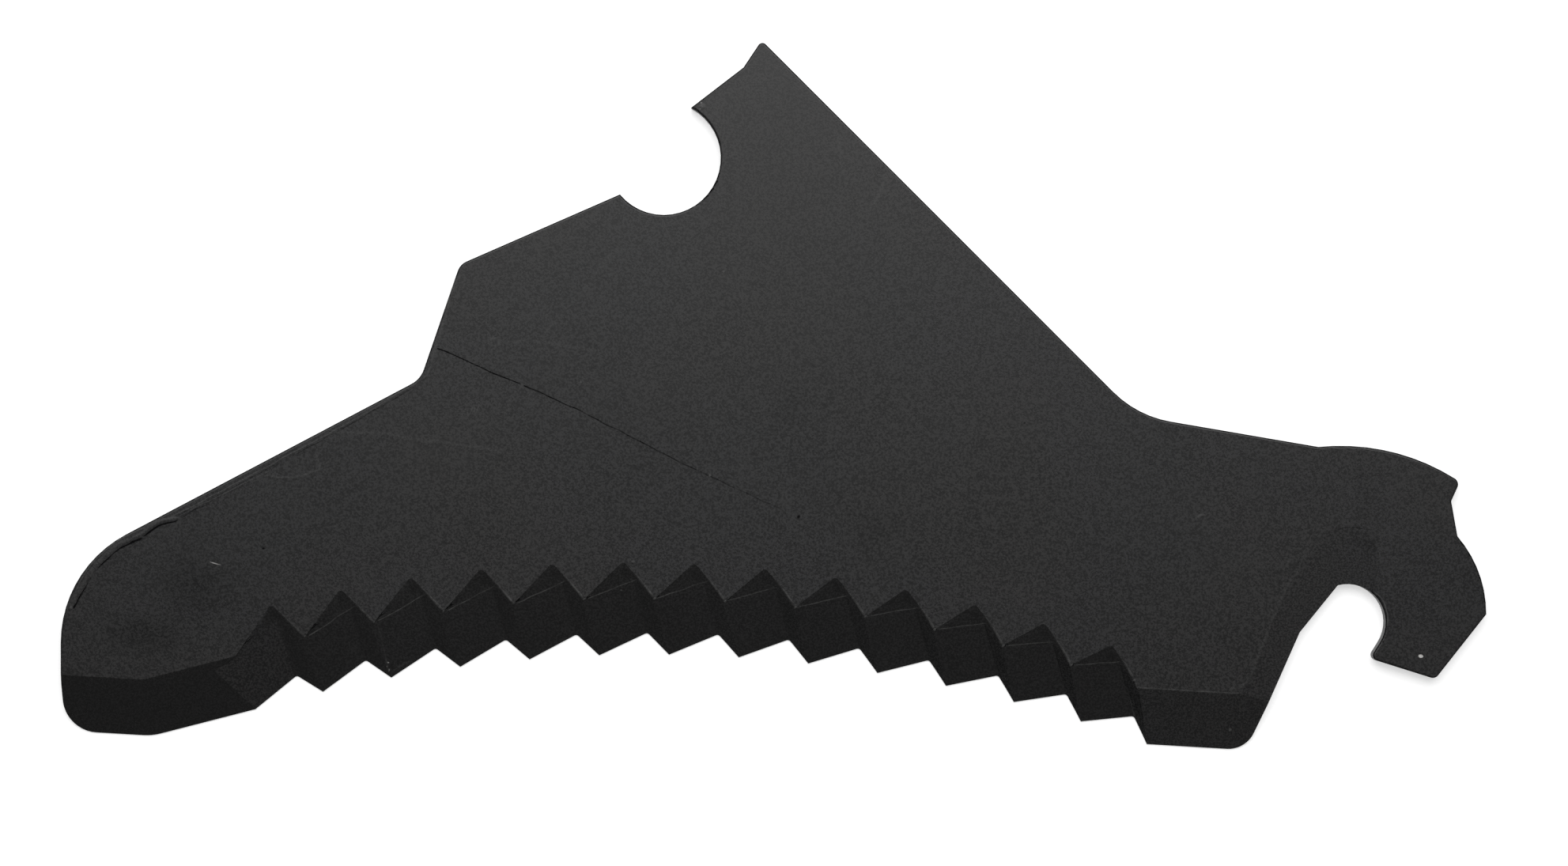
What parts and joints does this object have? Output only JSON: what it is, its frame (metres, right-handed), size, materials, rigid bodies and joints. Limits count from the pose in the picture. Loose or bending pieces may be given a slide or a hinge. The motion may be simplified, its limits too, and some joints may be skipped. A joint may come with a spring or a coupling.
{
  "type": "loader wagon knife",
  "caption": "Flat steel knife plate with a serrated, one-sided ground edge, an open hook seat at one end and a round roller notch on its back.",
  "frame": {"origin": "centre of the hook seat, on the flat back face of the plate", "axes": "+X along the knife from the nose to the hook, +Y across it from the cutting edge to the spur, +Z through the plate from the flat back face to the ground face"},
  "size_m": [0.5, 0.248, 0.005],
  "materials": {
    "blade_paint": "satin"
  },
  "bodies": {
    "root": {"knife_blade": "blade_paint"}
  },
  "joints": []
}
